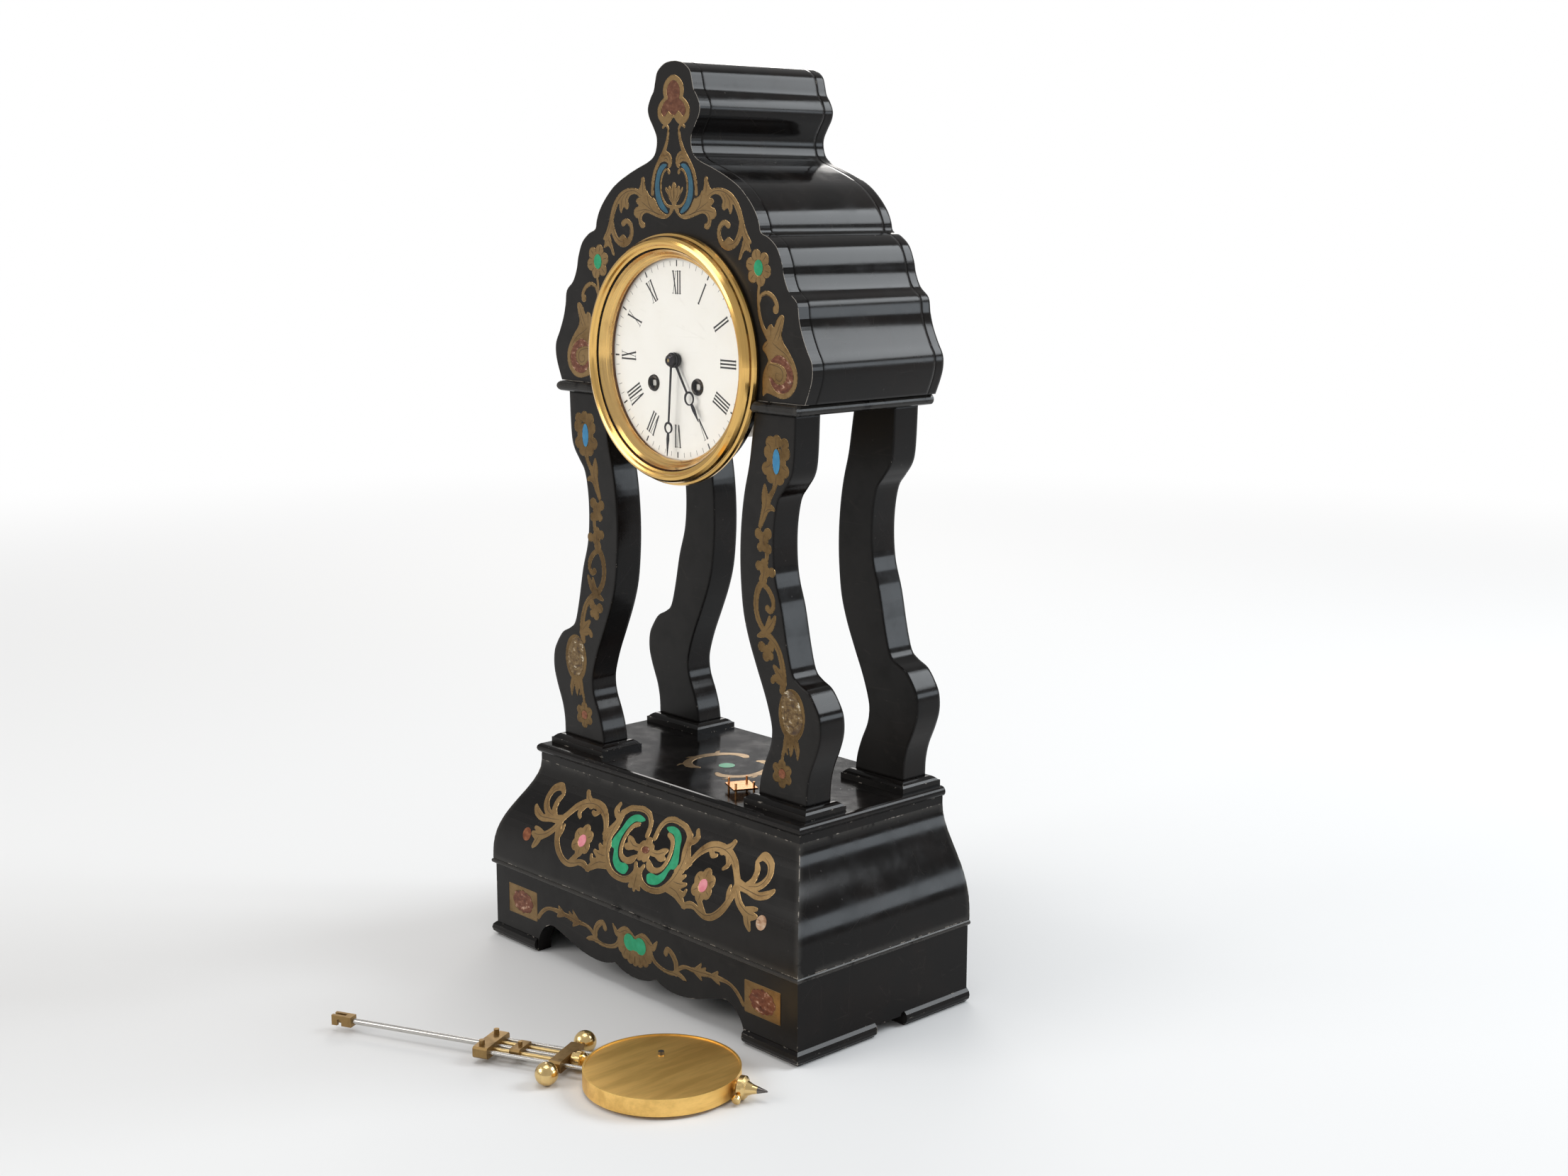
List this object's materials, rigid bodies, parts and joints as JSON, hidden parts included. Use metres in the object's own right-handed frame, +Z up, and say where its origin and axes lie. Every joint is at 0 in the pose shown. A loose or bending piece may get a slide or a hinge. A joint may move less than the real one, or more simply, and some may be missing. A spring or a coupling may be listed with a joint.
{
  "type": "table clock",
  "caption": "Portico table clock: scalloped ebonised head with round dial on shaped columns over an ogee base, with its gridiron pendulum lying in front.",
  "frame": {"origin": "middle of the case's base, at the level of the feet's undersides, centred between the plinth's faces", "axes": "+Z up, +X to the viewer's right when facing the dial, +Y to the back; the dial faces -Y"},
  "size_m": [0.2776, 0.2772, 0.4905],
  "materials": {
    "ebonised_wood": "polished black shellac, worn pale at corners",
    "gilt_brass": "polished, lacquered, slightly aged",
    "plate_brass": "satin",
    "aged_brass": "dull, brown tarnish",
    "polished_brass": "brushed in circles and along edges",
    "bell_metal": "satin",
    "steel": "satin",
    "drum_metal": "dark matt",
    "enamel": "glossy white enamel on copper",
    "dark_eyelet": "dark satin",
    "hand_metal": "dark blued steel",
    "glass": "clear, thin"
  },
  "bodies": {
    "case": {"plinth": "ebonised_wood", "foot_strips": "ebonised_wood", "bead_strip": "ebonised_wood", "ogee_base": "ebonised_wood", "base_plate": "ebonised_wood", "column_blocks": "ebonised_wood", "front_left_column": "ebonised_wood", "front_right_column": "ebonised_wood", "rear_left_column": "ebonised_wood", "rear_right_column": "ebonised_wood", "head_sill": "ebonised_wood", "head_front": "ebonised_wood", "head_shell": "ebonised_wood", "head_back": "ebonised_wood", "movement_drum": "drum_metal", "dial_surround": "gilt_brass", "dial_plate": "gilt_brass", "dial": "enamel", "winding_grommets": "dark_eyelet", "bezel_hinge": "gilt_brass", "rear_ring": "gilt_brass", "movement_straps": "plate_brass", "front_plate": "plate_brass", "back_plate": "plate_brass", "plate_pillars": "plate_brass", "back_cock": "plate_brass", "bell": "bell_metal", "bell_stand": "steel"},
    "bezel_door": {"bezel": "gilt_brass", "bezel_glass": "glass"},
    "back_door": {"rear_door": "gilt_brass"},
    "going_drum": {"going_barrel": "plate_brass"},
    "going_winder": {"going_arbor": "steel"},
    "strike_drum": {"strike_barrel": "plate_brass"},
    "strike_winder": {"strike_arbor": "steel"},
    "intermediate": {"intermediate_wheel": "plate_brass"},
    "centre": {"centre_wheel": "plate_brass"},
    "third": {"third_wheel": "plate_brass"},
    "escape": {"escape_wheel": "plate_brass"},
    "strike_second": {"strike_wheel": "plate_brass", "count_wheel": "plate_brass"},
    "pins": {"pin_wheel": "plate_brass"},
    "locking": {"locking_wheel": "plate_brass"},
    "fan": {"fly": "steel"},
    "anchor": {"anchor_and_crutch": "steel"},
    "spring_strip": {"suspension": "steel"},
    "striker": {"hammer": "steel"},
    "minute_work": {"minute_wheel": "plate_brass"},
    "hour": {"hour_hand": "hand_metal"},
    "minute": {"minute_hand": "hand_metal", "hand_nut": "hand_metal"},
    "pendulum": {"pendulum_hook": "aged_brass", "pendulum_crossbars": "aged_brass", "pendulum_steel_rods": "steel", "pendulum_brass_rods": "plate_brass", "pendulum_balls": "polished_brass"},
    "nut": {"rating_nut": "polished_brass"},
    "bob": {"pendulum_bob": "polished_brass", "bob_finial": "polished_brass"},
    "small_plate": {"loose_plate": "plate_brass"}
  },
  "joints": [
    {"name": "bezel_swing", "type": "hinge", "parent": "case", "child": "bezel_door", "pos_m": [-0.067, -0.0328, 0.3398], "axis": [0, 0, -1], "range_deg": [0, 110]},
    {"name": "rear_door_swing", "type": "hinge", "parent": "case", "child": "back_door", "pos_m": [-0.0454, 0.0641, 0.3713], "axis": [0, 0, 1], "range_deg": [0, 110]},
    {"name": "minute_hand_turn", "type": "hinge", "parent": "case", "child": "minute", "pos_m": [0, -0.033, 0.3398], "axis": [0, 1, 0], "continuous": true},
    {"name": "hour_hand_turn", "type": "hinge", "parent": "case", "child": "hour", "pos_m": [0, -0.031, 0.3398], "axis": [0, 1, 0], "continuous": true},
    {"name": "minute_wheel_turn", "type": "hinge", "parent": "case", "child": "minute_work", "pos_m": [0, -0.022, 0.34865], "axis": [0, 1, 0], "continuous": true},
    {"name": "escape_wheel_turn", "type": "hinge", "parent": "case", "child": "escape", "pos_m": [0, 0, 0.36616], "axis": [0, 1, 0], "continuous": true},
    {"name": "third_wheel_turn", "type": "hinge", "parent": "case", "child": "third", "pos_m": [-0.0042, 0, 0.35487], "axis": [0, 1, 0], "continuous": true},
    {"name": "centre_wheel_turn", "type": "hinge", "parent": "case", "child": "centre", "pos_m": [0, 0, 0.3398], "axis": [0, 1, 0], "continuous": true},
    {"name": "intermediate_wheel_turn", "type": "hinge", "parent": "case", "child": "intermediate", "pos_m": [0.0174, 0, 0.3454], "axis": [0, 1, 0], "continuous": true},
    {"name": "going_barrel_turn", "type": "hinge", "parent": "case", "child": "going_drum", "pos_m": [0.0162, 0, 0.3267], "axis": [0, 1, 0], "continuous": true},
    {"name": "going_winding_turn", "type": "hinge", "parent": "case", "child": "going_winder", "pos_m": [0.0162, 0, 0.3267], "axis": [0, 1, 0], "continuous": true},
    {"name": "strike_winding_turn", "type": "hinge", "parent": "case", "child": "strike_winder", "pos_m": [-0.019, 0, 0.3267], "axis": [0, 1, 0], "continuous": true},
    {"name": "fly_turn", "type": "hinge", "parent": "case", "child": "fan", "pos_m": [-0.0316, 0, 0.35184], "axis": [0, 1, 0], "continuous": true},
    {"name": "locking_wheel_turn", "type": "hinge", "parent": "case", "child": "locking", "pos_m": [-0.0274, 0, 0.35634], "axis": [0, 1, 0], "continuous": true},
    {"name": "pin_wheel_turn", "type": "hinge", "parent": "case", "child": "pins", "pos_m": [-0.0188, 0, 0.35944], "axis": [0, 1, 0], "continuous": true},
    {"name": "strike_wheel_turn", "type": "hinge", "parent": "case", "child": "strike_second", "pos_m": [-0.0184, 0, 0.34544], "axis": [0, 1, 0], "continuous": true},
    {"name": "strike_barrel_turn", "type": "hinge", "parent": "case", "child": "strike_drum", "pos_m": [-0.019, 0, 0.3267], "axis": [0, 1, 0], "continuous": true},
    {"name": "crutch_swing", "type": "hinge", "parent": "case", "child": "anchor", "pos_m": [0, 0, 0.3758], "axis": [0, 1, 0], "range_deg": [-3, 3]},
    {"name": "suspension_swing", "type": "hinge", "parent": "case", "child": "spring_strip", "pos_m": [0, 0.0322, 0.37495], "axis": [0, 1, 0], "range_deg": [-4, 4]},
    {"name": "hammer_lift", "type": "hinge", "parent": "case", "child": "striker", "pos_m": [-0.0366, 0, 0.3433], "axis": [0, 1, 0], "range_deg": [0, 12], "stiffness_Nm_per_rad": 0.002, "springref_deg": -17.19},
    {"name": "pendulum_lift", "type": "slide", "parent": "case", "child": "pendulum", "axis": [0, 0, 1], "range_m": [0, 0.06]},
    {"name": "rating_nut_turn", "type": "hinge", "parent": "pendulum", "child": "nut", "pos_m": [0.05815, -0.14434, 0.0058], "axis": [0.9018, 0.4321, 0], "range_deg": [-361, 1081]},
    {"name": "bob_slide", "type": "slide", "parent": "pendulum", "child": "bob", "axis": [0.9018, 0.4321, 0], "range_m": [-0.001, 0.003]},
    {"name": "small_plate_lift", "type": "slide", "parent": "case", "child": "small_plate", "axis": [0, 0, 1], "range_m": [0, 0.04]}
  ],
  "couplings": [
    {"joint": "hour_hand_turn", "follows": "minute_hand_turn", "ratio": 0.083333},
    {"joint": "minute_wheel_turn", "follows": "minute_hand_turn", "ratio": -0.33333},
    {"joint": "third_wheel_turn", "follows": "escape_wheel_turn", "ratio": -0.090909},
    {"joint": "centre_wheel_turn", "follows": "escape_wheel_turn", "ratio": 0.0075758},
    {"joint": "intermediate_wheel_turn", "follows": "escape_wheel_turn", "ratio": -0.00094697},
    {"joint": "going_barrel_turn", "follows": "escape_wheel_turn", "ratio": 0.00012626},
    {"joint": "locking_wheel_turn", "follows": "fly_turn", "ratio": -0.16667},
    {"joint": "pin_wheel_turn", "follows": "fly_turn", "ratio": 0.02381},
    {"joint": "strike_wheel_turn", "follows": "fly_turn", "ratio": -0.0029762},
    {"joint": "strike_barrel_turn", "follows": "fly_turn", "ratio": 0.00039683},
    {"joint": "rating_nut_turn", "follows": "bob_slide", "rad_per_m": 6283.2}
  ]
}
